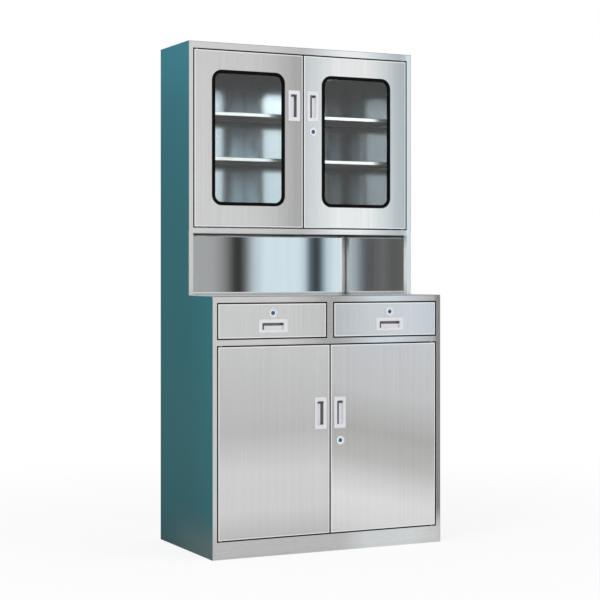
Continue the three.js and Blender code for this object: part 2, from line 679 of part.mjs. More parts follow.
// A drawer. Its group sits at the middle of its face's bottom edge.
function addDrawer(name, hand, shift) {
  const height = DRAWER_OPENING - 2 * DOOR_GAP;
  const drawer = addGroup(cabinet, hand * drawerMiddle, baseFaceY, drawerOpening[0] + DOOR_GAP);
  const lockZ = height - DRAWER_LOCK_DROP;

  // Front sheet, folded back on all four edges and in again behind
  const front = block([-drawerHalf, drawerHalf], [0, DOOR_THICKNESS], [0, height])
    .subtract(
      block(
        [SHEET - drawerHalf, drawerHalf - SHEET],
        [SHEET, DOOR_THICKNESS - SHEET],
        [SHEET, height - SHEET],
      ),
    )
    .subtract(
      block(
        [FRONT_LIP - drawerHalf, drawerHalf - FRONT_LIP],
        [DOOR_THICKNESS / 2, DOOR_THICKNESS + PAST],
        [FRONT_LIP, height - FRONT_LIP],
      ),
    )
    .subtract(pullCut(shift, DRAWER_PULL_RISE, [-cupZ[1], -cupZ[0]], cupX))
    .subtract(lockCut(shift, lockZ));
  addPiece(drawer, `${name}_front`, front, steel);

  // Tray, open at the top, with lips folded out along its sides
  const foot = TRAY_LIFT - DOOR_GAP;
  const top = foot + TRAY_HEIGHT;
  const depth = [DOOR_THICKNESS + FIT, BASE_DEPTH - SHEET - TRAY_BACK_GAP];
  const tray = joined(
    block([-trayHalf, trayHalf], depth, [foot, top]),
    block([-trayHalf - TRAY_LIP, trayHalf + TRAY_LIP], depth, [top - SHEET, top]),
  ).subtract(
    block(
      [SHEET - trayHalf, trayHalf - SHEET],
      [depth[0] + SHEET, depth[1] - SHEET],
      [foot + SHEET, top + PAST],
    ),
  );
  addPiece(drawer, `${name}_tray`, tray, steel);

  // The pull lies with its hook side up, and the cam lies flat until it is turned up behind the rail
  addPull(drawer, name, shift, DRAWER_PULL_RISE, 1, -Math.PI / 2);
  addLock(drawer, name, shift, lockZ, DRAWER_LOCK_DROP + DOOR_GAP + CAM_CATCH, Math.PI / 2);
}

addDrawer("left_drawer", -1, 0);
addDrawer("right_drawer", 1, RIGHT_DRAWER_SHIFT);

export default cabinet;
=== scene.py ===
# Glass door medical cabinet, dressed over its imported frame: brushed sheet steel with teal sides, glazed
# upper doors in black rubber, an open niche, and a deeper base with two drawers and two doors. Metres,
# front towards -Y.
import math

import bmesh
import bpy
from mathutils import Matrix, Vector


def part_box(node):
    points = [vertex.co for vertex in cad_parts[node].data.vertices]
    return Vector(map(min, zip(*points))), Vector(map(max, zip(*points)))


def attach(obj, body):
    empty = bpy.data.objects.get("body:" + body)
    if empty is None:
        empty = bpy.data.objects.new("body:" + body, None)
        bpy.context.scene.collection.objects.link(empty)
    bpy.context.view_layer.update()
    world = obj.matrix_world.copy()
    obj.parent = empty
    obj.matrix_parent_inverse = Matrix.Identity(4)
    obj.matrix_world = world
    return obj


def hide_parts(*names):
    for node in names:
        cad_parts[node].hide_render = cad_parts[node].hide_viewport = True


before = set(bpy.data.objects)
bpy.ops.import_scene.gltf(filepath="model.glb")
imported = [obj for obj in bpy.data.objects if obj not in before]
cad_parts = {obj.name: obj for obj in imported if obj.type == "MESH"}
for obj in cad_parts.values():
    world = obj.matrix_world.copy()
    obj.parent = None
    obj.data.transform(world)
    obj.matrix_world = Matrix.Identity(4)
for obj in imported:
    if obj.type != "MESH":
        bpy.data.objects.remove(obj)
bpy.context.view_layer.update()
scene = bpy.context.scene
scene.view_settings.view_transform = "Standard"

# Studio: a pale floor that runs out into white, with soft light from above on both sides. The room is pale
# in front and at the sides and dark behind the cabinet, with a row of narrow screens at eye level in front.
# Only what mirrors the room shows its walls and screens.
FILL = 0.62
NEAR_GLOW, MIRRORED_GLOW = 0.84, 0.15


class Tone:
    """A number, colour or direction on its way through the nodes of one material."""

    def __init__(self, tree, socket=None):
        self.tree = tree
        self.socket = socket

    def node(self, kind, settings, sockets, output=0):
        made = self.tree.nodes.new(kind)
        for name, setting in settings.items():
            if name == "stops":
                while len(made.color_ramp.elements) < len(setting):
                    made.color_ramp.elements.new(0.5)
                for stop, (position, colour) in zip(made.color_ramp.elements, setting):
                    stop.position = position
                    stop.color = colour
            else:
                setattr(made, name, setting)
        for name, given in sockets.items():
            if isinstance(given, Tone):
                self.tree.links.new(given.socket, made.inputs[name])
            else:
                made.inputs[name].default_value = given
        return Tone(self.tree, made.outputs[output])

    def reckon(self, operation, first, second=0.0):
        return self.node("ShaderNodeMath", {"operation": operation}, {0: first, 1: second})

    def __add__(self, other):
        return self.reckon("ADD", self, other)

    def __radd__(self, other):
        return self.reckon("ADD", other, self)

    def __sub__(self, other):
        return self.reckon("SUBTRACT", self, other)

    def __rsub__(self, other):
        return self.reckon("SUBTRACT", other, self)

    def __mul__(self, other):
        return self.reckon("MULTIPLY", self, other)

    def __rmul__(self, other):
        return self.reckon("MULTIPLY", other, self)

    def __truediv__(self, other):
        return self.reckon("DIVIDE", self, other)

    def __gt__(self, other):
        return self.reckon("GREATER_THAN", self, other)

    def __lt__(self, other):
        return self.reckon("LESS_THAN", self, other)

    def __abs__(self):
        return self.reckon("ABSOLUTE", self)

    def most(self, other):
        return self.reckon("MAXIMUM", self, other)

    def least(self, other):
        return self.reckon("MINIMUM", self, other)

    def stretched(self, low, high):
        """The part from low to high, spread over 0 to 1 with soft ends."""
        return self.node(
            "ShaderNodeMapRange",
            {"interpolation_type": "SMOOTHSTEP"},
            {"Value": self, "From Min": low, "From Max": high},
        )

    def scaled(self, x, y, z):
        return self.node("ShaderNodeVectorMath", {"operation": "MULTIPLY"}, {0: self, 1: (x, y, z)})

    def part(self, axis):
        return self.node("ShaderNodeSeparateXYZ", {}, {0: self}, axis)

    def grain(self, scale, detail=2.0):
        return self.node("ShaderNodeTexNoise", {}, {"Vector": self, "Scale": scale, "Detail": detail})

    def between(self, first, second):
        """This number as the share of the second colour in a mix."""
        made = {"data_type": "RGBA", "clamp_factor": True}
        return self.node("ShaderNodeMix", made, {0: self, 6: first, 7: second}, 2)

    def times(self, colour):
        made = {"data_type": "RGBA", "blend_type": "MULTIPLY"}
        return self.node("ShaderNodeMix", made, {0: 1.0, 6: self, 7: colour}, 2)

    def ramp(self, *stops):
        """The colour for this number: each stop is a number and its colour."""
        start, end = stops[0][0], stops[-1][0]
        steps = [((at - start) / (end - start), colour) for at, colour in stops]
        share = (self - start) / (end - start)
        return self.node("ShaderNodeValToRGB", {"stops": steps}, {"Fac": share}, "Color")

    def along(self, way, *stops):
        """A colour that changes along a way through the cabinet: each stop is a distance and its colour."""
        far = self.node("ShaderNodeVectorMath", {"operation": "DOT_PRODUCT"}, {0: self, 1: way}, "Value")
        return far.ramp(*stops)


def grey(value):
    return (value, value, value, 1)


def sight(tone):
    """Whether a ray comes straight from the eye, from a mirror, or through glass."""
    kinds = "Is Camera Ray", "Is Glossy Ray", "Is Transmission Ray"
    return [tone.node("ShaderNodeLightPath", {}, {}, kind) for kind in kinds]


world = bpy.data.worlds.new("studio_room")
scene.world = world
world.use_nodes = True
room = Tone(world.node_tree)
backdrop = world.node_tree.nodes["Background"]
viewed, mirrored, through = sight(room)
seen = viewed.most(mirrored).most(through)
heading = room.node("ShaderNodeTexCoord", {}, {}, "Generated")
rise = heading.part(2)
bearing = room.reckon("ARCTAN2", heading.part(0), 0 - heading.part(1)) * (180 / math.pi)
walls = bearing.ramp(
    (-180, grey(0.45)), (-162, grey(0.12)), (-140.4, grey(0.16)), (-108, grey(0.85)), (-50.4, grey(0.97)),
    (7.2, grey(0.99)), (36, grey(0.97)), (115.2, grey(0.97)), (180, grey(0.45)),
)
eye_level = (rise > -0.02) * (0.027 > rise)
sky, slate, dusk = (0.70, 0.81, 0.87, 1), (0.44, 0.50, 0.55, 1), (0.03, 0.04, 0.05, 1)
right_screens = (
    (20.5, grey(0.41)), (22.8, grey(0.39)), (23.25, grey(0.25)), (23.6, grey(0.05)), (23.8, grey(0.03)),
    (24.0, grey(0.15)), (24.3, (0.52, 0.59, 0.64, 1)), (24.7, sky), (25.9, sky),
    (26.1, (0.55, 0.65, 0.71, 1)), (26.3, (0.10, 0.13, 0.15, 1)), (26.5, dusk),
    (26.65, (0.06, 0.09, 0.10, 1)), (26.9, (0.56, 0.68, 0.74, 1)), (27.2, sky), (29.0, sky),
)
left_screens = (
    (-33.0, grey(0.15)), (-29.5, grey(0.15)), (-29.2, grey(0.09)), (-28.95, grey(0.20)),
    (-28.5, grey(0.10)), (-28.15, grey(0.10)), (-27.95, slate), (-27.68, slate), (-27.55, sky),
    (-27.0, sky),
)
for screens in (right_screens, left_screens):
    within = (bearing > screens[0][0]) * (screens[-1][0] > bearing)
    walls = (eye_level * within).between(walls, bearing.ramp(*screens))
overhead = rise.stretched(0.15, 0.6).between(walls, grey(1.0))
colour = mirrored.between(grey(1.0), overhead)
world.node_tree.links.new(colour.socket, backdrop.inputs["Color"])
world.node_tree.links.new((FILL + seen * (1 - FILL)).socket, backdrop.inputs["Strength"])

bpy.ops.object.select_all(action="DESELECT")
bpy.ops.mesh.primitive_circle_add(vertices=96, radius=9.0, fill_type="NGON", location=(0, 0, -0.0005))
floor = bpy.context.object
floor.name = "studio_floor"
pale_floor = bpy.data.materials.new("pale_floor")
pale_floor.use_nodes = True
floor_nodes = pale_floor.node_tree
floor_tone = Tone(floor_nodes)
matt = floor_nodes.nodes["Principled BSDF"]
matt.inputs["Base Color"].default_value = grey(0.86)
matt.inputs["Roughness"].default_value = 0.9
lit = floor_tone.node("ShaderNodeEmission", {}, {"Color": grey(1.0), "Strength": 1.0})
viewed, mirrored, through = sight(floor_tone)
place = floor_tone.node("ShaderNodeTexCoord", {}, {}, "Object")
away = place.node("ShaderNodeVectorMath", {"operation": "LENGTH"}, {0: place}, "Value").stretched(0.7, 3.0)
glow = viewed.most(through) * (NEAR_GLOW + away * (1 - NEAR_GLOW)) + mirrored * MIRRORED_GLOW
surface = {0: glow, 1: Tone(floor_nodes, matt.outputs["BSDF"]), 2: lit}
floor_mix = floor_tone.node("ShaderNodeMixShader", {}, surface)
floor_nodes.links.new(floor_mix.socket, floor_nodes.nodes["Material Output"].inputs["Surface"])
floor.data.materials.append(pale_floor)


def soft_lamp(name, place, aim, size, watts):
    lamp = bpy.data.lights.new(name, "AREA")
    lamp.shape = "SQUARE"
    lamp.size = size
    lamp.energy = watts
    lamp_object = bpy.data.objects.new(name, lamp)
    scene.collection.objects.link(lamp_object)
    lamp_object.location = place
    lamp_object.rotation_euler = (Vector(aim) - Vector(place)).to_track_quat("-Z", "Y").to_euler()
    lamp_object.visible_glossy = False


soft_lamp("left_lamp", (-4.2, -2.6, 4.4), (0, 0, 1.1), 3.0, 150)
soft_lamp("right_lamp", (3.6, -4.6, 3.8), (0, 0, 0.9), 3.0, 110)

camera = bpy.data.cameras.new("photo_camera")
camera.sensor_width = 36
camera.lens = 96.7
camera.shift_x = 0.0122
camera.shift_y = -0.0499
viewer = bpy.data.objects.new("photo_camera", camera)
scene.collection.objects.link(viewer)
viewer.location = (-2.5812, -5.30605, 0.9898)
viewer.rotation_euler = (math.radians(90), 0, math.radians(-25.68))
scene.camera = viewer

# Side panels: one long stepped steel sheet each, with a satin teal film on the outer face that runs up to
# the front corner. The film is painted lighter towards the top and the front as painted light, and paler at
# the foot as a painted reflection of the floor. The inner face is bare steel with painted shade, darker in
# the closed units than in the niche, and in the niche, as far back as the post hides it, it is a pale matt
# strip of painted light.
UPWARDS, BACKWARDS = (0, 0, 1), (0, 1, 0)
RAIL = 0.02
POST_HIDES = 0.024


def finish(name, **constants):
    """A named finish with its constant values set, and the place on the cabinet that it is drawn from."""
    material = bpy.data.materials.new(name)
    material.use_nodes = True
    shader = material.node_tree.nodes["Principled BSDF"]
    for socket, value in constants.items():
        shader.inputs[socket.replace("_", " ").title().replace("Ior", "IOR")].default_value = value
    place = Tone(material.node_tree).node("ShaderNodeTexCoord", {}, {}, "Object")
    return material, shader, place


def feed(shader, **patterns):
    for socket, pattern in patterns.items():
        pattern.tree.links.new(pattern.socket, shader.inputs[socket.replace("_", " ").title()])


def bumped(height, strength, distance):
    return height.node("ShaderNodeBump", {}, {"Strength": strength, "Distance": distance, "Height": height})


def dress(node, material):
    """Gives a CAD node that is shown as it is its finish."""
    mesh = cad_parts[node].data
    mesh.materials.clear()
    mesh.materials.append(material)


worktop_low, worktop_high = (round(corner.z, 4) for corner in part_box("worktop_panel"))
ceiling_low, ceiling_high = (round(corner.z, 4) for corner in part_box("upper_floor_panel"))
niche_head = ceiling_high - RAIL
sheet_out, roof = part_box("right_side_panel")[1].x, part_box("right_side_panel")[1].z


def in_niche(place):
    """One on the part of a sheet that stands in the niche, and nought above and below it."""
    height = place.part(2)
    return height.stretched(worktop_low, worktop_high) * (1 - height.stretched(niche_head, ceiling_high))


teal_side, shader, place = finish("teal_side", specular_ior_level=0.05)
outer = abs(place.part(0)) > sheet_out - 0.0006
strokes = place.scaled(1, 1, 0.004).grain(500, 2.0).stretched(0.3, 0.7)
cloud = place.scaled(1, 1, 0.35).grain(2.6, 1.0).stretched(0.25, 0.75)
# Painted light on the film: lighter towards the top, and lighter and bluer towards the front.
film_with_painted_light = place.along(
    UPWARDS,
    (0.0, (0.034, 0.090, 0.100, 1)), (0.04, (0.020, 0.094, 0.108, 1)), (0.15, (0.020, 0.104, 0.119, 1)),
    (0.35, (0.025, 0.116, 0.132, 1)), (0.65, (0.028, 0.128, 0.147, 1)), (0.95, (0.031, 0.134, 0.155, 1)),
    (1.25, (0.033, 0.139, 0.165, 1)), (1.58, (0.037, 0.157, 0.192, 1)), (1.74, (0.041, 0.190, 0.234, 1)),
    (1.80, (0.041, 0.192, 0.237, 1)),
)
film_with_painted_light = film_with_painted_light.times(place.along(
    BACKWARDS, (-0.25, (1.05, 1.14, 1.18, 1)), (-0.03, grey(1.0)), (0.25, grey(0.98))
))
film_with_painted_light = film_with_painted_light.times((strokes * 0.6 + cloud * 0.4).between(grey(0.97), grey(1.03)))
# Painted reflection of the floor: the film is paler and greyer at the foot, most towards the front.
floor_reflection = place.along(
    UPWARDS,
    (0.0, grey(1.0)), (0.045, grey(0.95)), (0.085, grey(0.5)), (0.115, grey(0.25)), (0.17, grey(0.0)),
)
floor_reflection = floor_reflection.times(place.along(BACKWARDS, (-0.25, grey(1.0)), (-0.02, grey(0.65)), (0.2, grey(0.0))))
film_with_painted_light = floor_reflection.between(film_with_painted_light, (0.092, 0.135, 0.135, 1))
# Painted shade on the inner face: darker below the worktop and darker still above the niche.
bare_with_painted_shade = place.along(
    UPWARDS,
    (0.0, grey(0.60)), (worktop_low, grey(0.60)), (worktop_high, grey(0.86)), (niche_head, grey(0.86)),
    (ceiling_high, grey(0.40)), (roof, grey(0.40)),
)
bare_with_painted_shade = bare_with_painted_shade.times(strokes.between(grey(0.98), grey(1.02)))
# Painted light: a pale matt strip on the inner face in the niche, as far back as the post hides it.
painted_light_strip = in_niche(place) * (1 - outer) * (POST_HIDES > place.part(1))
feed(
    shader,
    base_color=painted_light_strip.between(outer.between(bare_with_painted_shade, film_with_painted_light), grey(0.97)),
    metallic=1 - outer - painted_light_strip,
    roughness=0.03 + painted_light_strip * 0.5 + outer * (0.39 + strokes * 0.05 + cloud * 0.05),
    normal=bumped(strokes, 0.02, 0.0001),
)
for node in ("left_side_panel", "right_side_panel"):
    dress(node, teal_side)

# Fixed panels: the back, the floors, the deck and the partition are stainless sheets with folded edges,
# brushed along their length. The back sheet is left bright in the niche, where it mirrors the room, and
# lies hazed behind the doors, with painted shade under the shelves and the top.
# How far in from a leaf's outline its painted highlight runs.
PAINTED_EDGE_HIGHLIGHT = 0.0035, 0.0055


def middle(node):
    low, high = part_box(node)
    return (low + high) / 2


def rim(place, low, high):
    """How near a place is to the outline of a leaf or its mirror image: one on the edge, nought inside."""
    x, z = abs(place.part(0)), place.part(2)
    near = (x - low.x).least(high.x - x).least((z - low.z).least(high.z - z))
    return 1 - near.stretched(*PAINTED_EDGE_HIGHLIGHT)


def upright(place):
    return place.scaled(1, 1, 0.003)


def level(place):
    return place.scaled(0.003, 1, 1)


def brushed(name, drawn, tone, roughness, painted_sheen=None, face=None, leaf=None, shut_from=0.0):
    """Stainless sheet with brush strokes along the way that it was drawn. The painted sheen is soft bands of
    painted light and dark over a large sheet. A sheet with its face to the front is painted dark as shade
    where it folds back into a shut opening, and painted pale as light where it folds back below the shut
    openings. A leaf has a painted highlight round its edge."""
    material, shader, place = finish(name, metallic=1.0)
    fine = drawn(place).grain(1300, 2.0).stretched(0.3, 0.7)
    broad = drawn(place).grain(120, 1.0).stretched(0.3, 0.7)
    colour = (fine * 0.6 + broad * 0.4).between(grey(tone * 0.945), grey(tone * 1.035))
    # Painted sheen: soft bands of painted light and dark laid over the strokes.
    if painted_sheen:
        colour = painted_sheen(place).times(colour)
    # Painted highlight round a leaf's edge.
    if leaf:
        colour = (rim(place, *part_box(leaf)) * 0.8).between(colour, grey(0.97))
    # Painted shade where a front folds back into a shut opening, and painted light where it folds back below
    # the shut openings.
    if face is not None:
        folded = (place.part(1) - face).stretched(0.0003, 0.0009)
        shut = place.part(2) > shut_from
        colour = folded.between(colour, shut.between(grey(0.97), grey(0.14)))
    feed(
        shader,
        base_color=colour,
        roughness=roughness + fine * 0.03,
        normal=bumped(fine, 0.02, 0.0001),
    )
    return material


def floor_painted_light_and_shade(place):
    """Painted light on the upper face of the floor, and painted shade on its folded edges and below."""
    return place.along(
        UPWARDS,
        (ceiling_low, grey(0.16)), (ceiling_high - 0.002, grey(0.16)), (ceiling_high - 0.0011, grey(1.0)),
        (ceiling_high, grey(1.0)),
    )


upright_steel = brushed("upright_brushed_steel", upright, 0.70, 0.26)
level_steel = brushed("level_brushed_steel", level, 0.66, 0.28)
floor_steel = brushed("floor_steel", level, 0.66, 0.28, floor_painted_light_and_shade)

# Painted shade on the back sheet behind the doors: dark just under each shelf and under the top.
pale, dim, shade = (0.70, 0.80, 0.87, 1), (0.16, 0.18, 0.21, 1), grey(0.05)
bays = [(ceiling_high, pale)]
for shelf in ("upper_shelf_bottom", "upper_shelf_top"):
    under, over = (corner.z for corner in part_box(shelf))
    bays += [(under - 0.031, pale), (under - 0.013, dim), (under - 0.004, shade)]
    bays += [(over + 0.0005, shade), (over + 0.0025, pale)]
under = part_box("top_panel")[0].z
bays += [(under - 0.175, pale), (under - 0.125, (0.45, 0.51, 0.57, 1))]
bays += [(under - 0.095, (0.20, 0.235, 0.28, 1)), (under - 0.065, shade), (under - 0.005, grey(0.03))]
bright_steel, shader, place = finish("bright_steel", metallic=1.0)
ripple = place.scaled(1, 1, 0.05).grain(30, 2.0).stretched(0.3, 0.7)
rolled = upright(place).grain(120, 2.0).stretched(0.3, 0.7)
outer = place.part(1) > middle("back_panel").y
mirror = in_niche(place) * (1 - outer)
hazed_with_painted_shade = place.part(2).stretched(niche_head, ceiling_high).between(grey(0.62), place.along(UPWARDS, *bays))
hazed_with_painted_shade = outer.between(hazed_with_painted_shade, rolled.between(grey(0.66), grey(0.74)))
feed(
    shader,
    base_color=mirror.between(hazed_with_painted_shade, ripple.between((0.86, 0.89, 0.90, 1), (0.89, 0.92, 0.93, 1))),
    roughness=0.14 - mirror * 0.12,
)
dress("back_panel", bright_steel)
dress("upper_floor_panel", floor_steel)
for node in ("drawer_deck", "base_floor_panel"):
    dress(node, level_steel)
dress("drawer_partition", upright_steel)

# Face frames: the front sheet of each unit, folded back round its openings on a soft press-brake corner and
# welded into one. Its top edge rolls over into the flat panel behind it, and a tab hangs from each door
# opening as a stop.
SIDEWAYS = (1, 0, 0)
SHEET, FOLD, ROLL = 0.001, 0.0022, 0.004
JAMB, LIP = 0.02, 0.0155
DOOR_GAP = 0.003
STOP_HALF, STOP_DROP, STOP_DEPTH = 0.06, 0.009, 0.0215
PIN_HOLE = 0.0033
PAST = 0.01


def pick(piece):
    bpy.ops.object.select_all(action="DESELECT")
    piece.select_set(True)
    bpy.context.view_layer.objects.active = piece


def block(name, low, high):
    low, high = Vector(low), Vector(high)
    bpy.ops.object.select_all(action="DESELECT")
    bpy.ops.mesh.primitive_cube_add(size=1, location=(low + high) / 2, scale=high - low)
    made = bpy.context.object
    made.name = name
    bpy.ops.object.transform_apply(location=True, rotation=True, scale=True)
    return made


def round_edges(piece, wanted, radius, steps):
    """Rounds the edges whose two ends pass the test."""
    pick(piece)
    bpy.ops.object.mode_set(mode="EDIT")
    bpy.ops.mesh.select_mode(type="EDGE")
    bpy.ops.mesh.select_all(action="DESELECT")
    shape = bmesh.from_edit_mesh(piece.data)
    for edge in shape.edges:
        edge.select_set(wanted(edge.verts[0].co, edge.verts[1].co))
    bmesh.update_edit_mesh(piece.data)
    bpy.ops.mesh.bevel(offset=radius, segments=steps, affect="EDGES")
    bpy.ops.object.mode_set(mode="OBJECT")


def on_plane(y):
    return lambda a, b: abs(a.y - y) < 1e-6 and abs(b.y - y) < 1e-6


def on_front_top(y, z):
    return lambda a, b: abs(a.y - y) + abs(b.y - y) + abs(a.z - z) + abs(b.z - z) < 1e-5


def combine(piece, tool, operation):
    joint = piece.modifiers.new("joint", "BOOLEAN")
    joint.operation = operation
    joint.object = tool
    joint.solver = "EXACT"
    pick(piece)
    bpy.ops.object.modifier_apply(modifier=joint.name)
    bpy.data.objects.remove(tool)


def cut(piece, *tools):
    for tool in tools:
        combine(piece, tool, "DIFFERENCE")


def add(piece, *tools):
    for tool in tools:
        combine(piece, tool, "UNION")


def smooth(piece):
    """Soft shading over the rounded edges, with the flat faces kept flat."""
    pick(piece)
    bpy.ops.object.shade_smooth_by_angle(angle=math.radians(35))
    even = piece.modifiers.new("even_faces", "WEIGHTED_NORMAL")
    even.keep_sharp = True
    bpy.ops.object.modifier_apply(modifier=even.name)


def fit(piece, body, slot, material, *nodes):
    """Finishes a piece: its material, the body it moves with and the CAD nodes it stands for. Its slot is
    not used.
    """
    piece.data.materials.clear()
    piece.data.materials.append(material)
    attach(piece, body)
    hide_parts(*nodes)


def flared_hole(face, x, z):
    """The tool that cuts an opening: a block that widens towards the face in a quarter round."""
    made = block("flared_hole", (x[0], face + FOLD, z[0]), (x[1], face + JAMB + PAST, z[1]))
    at = Vector(((x[0] + x[1]) / 2, face, (z[0] + z[1]) / 2))
    wide, tall = x[1] - x[0], z[1] - z[0]
    pick(made)
    bpy.ops.object.mode_set(mode="EDIT")
    bpy.ops.mesh.select_mode(type="FACE")
    bpy.ops.mesh.select_all(action="DESELECT")
    shape = bmesh.from_edit_mesh(made.data)
    for side in shape.faces:
        side.select_set(side.normal.y < -0.9)
    bmesh.update_edit_mesh(made.data)
    steps = 5
    for step in range(1, steps + 1):
        before, now = math.pi / 2 * (step - 1) / steps, math.pi / 2 * step / steps
        forward = FOLD * (math.sin(now) - math.sin(before))
        was, grown = FOLD * (1 - math.cos(before)), FOLD * (1 - math.cos(now))
        bpy.ops.mesh.extrude_region_move(TRANSFORM_OT_translate={"value": (0, -forward, 0)})
        bpy.ops.transform.resize(
            value=((wide + 2 * grown) / (wide + 2 * was), 1, (tall + 2 * grown) / (tall + 2 * was)),
            center_override=at,
        )
    bpy.ops.mesh.extrude_region_move(TRANSFORM_OT_translate={"value": (0, -PAST, 0)})
    bpy.ops.object.mode_set(mode="OBJECT")
    return made


def rod(name, radius, start, end, steps=48):
    """A round bar between two points."""
    start, end = Vector(start), Vector(end)
    bpy.ops.object.select_all(action="DESELECT")
    bpy.ops.mesh.primitive_cylinder_add(
        vertices=steps,
        radius=radius,
        depth=(end - start).length,
        location=(start + end) / 2,
        rotation=(end - start).to_track_quat("Z", "Y").to_euler(),
    )
    made = bpy.context.object
    made.name = name
    bpy.ops.object.transform_apply(location=True, rotation=True, scale=True)
    return made


def pin_holes(door):
    """The tools that bore the holes for a door's two hinge pins."""
    for pin in (door + "_top_pin", door + "_bottom_pin"):
        low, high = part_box(pin)
        at = middle(pin)
        yield rod("pin_hole", PIN_HOLE, (at.x, at.y, low.z - PAST), (at.x, at.y, high.z + PAST), 24)


def opening_for(*leaves):
    """The ends, from side to side and from foot to head, of the opening that these leaves fill. They are
    kept to a tenth of a millimetre, so that the walls of neighbouring cuts meet."""
    corners = [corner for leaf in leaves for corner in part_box(leaf)]
    spans = [corner.x for corner in corners], [corner.z for corner in corners]
    return [(round(min(span) - DOOR_GAP, 4), round(max(span) + DOOR_GAP, 4)) for span in spans]


def framed(post):
    """Strokes that run up the two posts, which start this far out, and along the rails between them."""
    return lambda place: (abs(place.part(0)) > post).between(level(place), upright(place))


def face_frame(unit, openings, painted_sheen, shut_from):
    """A hollow frame, open at the back. The first of its openings is the one for the doors."""
    low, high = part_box(unit + "_face_frame")
    back = low.y + JAMB
    piece = block(unit + "_face_sheet", low, (high.x, back, high.z))
    round_edges(piece, on_front_top(low.y, high.z), ROLL, 5)
    start = low.x + SHEET, low.y + SHEET, low.z + SHEET
    hollow = block("hollow", start, (high.x - SHEET, back + PAST, high.z - ROLL))
    for x, z in openings:
        start = x[0] - SHEET, low.y - PAST, z[0] - SHEET
        cut(hollow, block("walls", start, (x[1] + SHEET, back + 2 * PAST, z[1] + SHEET)))
    start = low.x - PAST, low.y + ROLL, high.z - LIP
    lip_room = block("lip_room", start, (high.x + PAST, back + PAST, high.z + PAST))
    cut(piece, hollow, lip_room)
    for x, z in openings:
        cut(piece, flared_hole(low.y, x, z))
    for side in ("left", "right"):
        cut(piece, *pin_holes(f"{unit}_{side}_door"))
    post, head = openings[0][0][1], openings[0][1][1]
    tab = low.y + STOP_DEPTH
    end = STOP_HALF, tab + SHEET, head + SHEET
    add(
        piece,
        block("stop_arm", (-STOP_HALF, back - SHEET, head), end),
        block("stop_tab", (-STOP_HALF, tab, head - STOP_DROP), end),
    )
    smooth(piece)
    drawn = framed(post)
    frame_steel = brushed(unit + "_face_steel", drawn, 1.0, 0.26, painted_sheen, low.y, shut_from=shut_from)
    fit(piece, "carcass", "brushed_steel", frame_steel, unit + "_face_frame")


# Painted sheen on the upper face frame: bands of painted light and dark from side to side.
def upper_frame_painted_sheen(place):
    return place.along(
        SIDEWAYS,
        (-0.45, grey(0.66)), (-0.15, grey(0.63)), (-0.05, grey(0.56)), (0.0, (0.53, 0.555, 0.56, 1)),
        (0.02, (0.56, 0.58, 0.59, 1)), (0.09, (0.72, 0.75, 0.76, 1)), (0.16, (0.86, 0.89, 0.90, 1)),
        (0.24, (0.86, 0.89, 0.90, 1)), (0.34, (0.60, 0.65, 0.68, 1)), (0.40, (0.47, 0.52, 0.55, 1)),
        (0.425, (0.55, 0.62, 0.65, 1)), (0.435, (0.70, 0.79, 0.82, 1)), (0.45, (0.70, 0.79, 0.82, 1)),
    )


# Painted sheen on the base face frame, with bands of their own on the plinth.
def base_frame_painted_sheen(place):
    rails = place.along(
        SIDEWAYS,
        (-0.45, grey(0.65)), (-0.17, grey(0.63)), (-0.07, grey(0.52)), (-0.02, grey(0.42)),
        (0.03, grey(0.42)), (0.10, (0.52, 0.55, 0.57, 1)), (0.18, (0.65, 0.72, 0.78, 1)),
        (0.26, (0.65, 0.72, 0.78, 1)), (0.36, (0.55, 0.58, 0.62, 1)), (0.42, (0.46, 0.48, 0.50, 1)),
        (0.435, grey(0.27)), (0.45, grey(0.26)),
    )
    plinth = place.along(
        SIDEWAYS,
        (-0.45, grey(0.57)), (0.04, grey(0.57)), (0.14, (0.71, 0.74, 0.75, 1)),
        (0.32, (0.74, 0.76, 0.77, 1)), (0.45, grey(0.66)),
    )
    return place.part(2).stretched(0.04, 0.14).between(plinth, rails)


upper_opening = opening_for("upper_left_door_skin", "upper_right_door_skin")
niche_opening = upper_opening[0], (worktop_high - RAIL, niche_head)
face_frame("upper", [upper_opening, niche_opening], upper_frame_painted_sheen, (niche_head + ceiling_high) / 2)
base_openings = [
    opening_for("base_left_door_skin", "base_right_door_skin"),
    opening_for("left_drawer_front"),
    opening_for("right_drawer_front"),
]
face_frame("base", base_openings, base_frame_painted_sheen, 0.0)

# Top and worktop: flat sheets folded down all round, tucked in behind the rolled edge of the face frame.
# The worktop runs on under the upper unit as the niche's floor, where it is painted dark as shade.
SEAM = 0.0002
CREASE = 0.0003


# Painted shade on the worktop where it runs back under the upper unit.
def worktop_painted_shade(place):
    worktop = place.along(
        BACKWARDS, (-0.25, grey(1.0)), (-0.05, grey(1.0)), (0.0, grey(0.25)), (0.25, grey(0.12))
    )
    return place.part(2).stretched(worktop_high + 0.05, worktop_high + 0.1).between(worktop, grey(1.0))


def underside(low, high):
    """The tool that hollows a folded-down sheet from below."""
    start = low.x + SHEET, low.y + SHEET, low.z - PAST
    return block("underside", start, (high.x - SHEET, high.y - SHEET, high.z - SHEET))


sheet_steel = brushed("worktop_steel", level, 0.66, 0.28, worktop_painted_shade)
for panel, frame_node in (("top_panel", "upper_face_frame"), ("worktop_panel", "base_face_frame")):
    low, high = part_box(panel)
    low = Vector((low.x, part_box(frame_node)[0].y + ROLL + SEAM, low.z))
    piece = block(panel.replace("panel", "sheet"), low, high)
    cut(piece, underside(low, high))
    round_edges(piece, on_front_top(low.y, high.z), CREASE, 2)
    smooth(piece)
    fit(piece, "carcass", "brushed_steel", sheet_steel, panel)

# Shelves: folded trays of brushed sheet that lie on ledges, their front edge rounded, with a painted
# highlight on it. Behind that edge the trays are painted dark as shade, undersides and backs included.
SHELF_EDGE = 0.0025


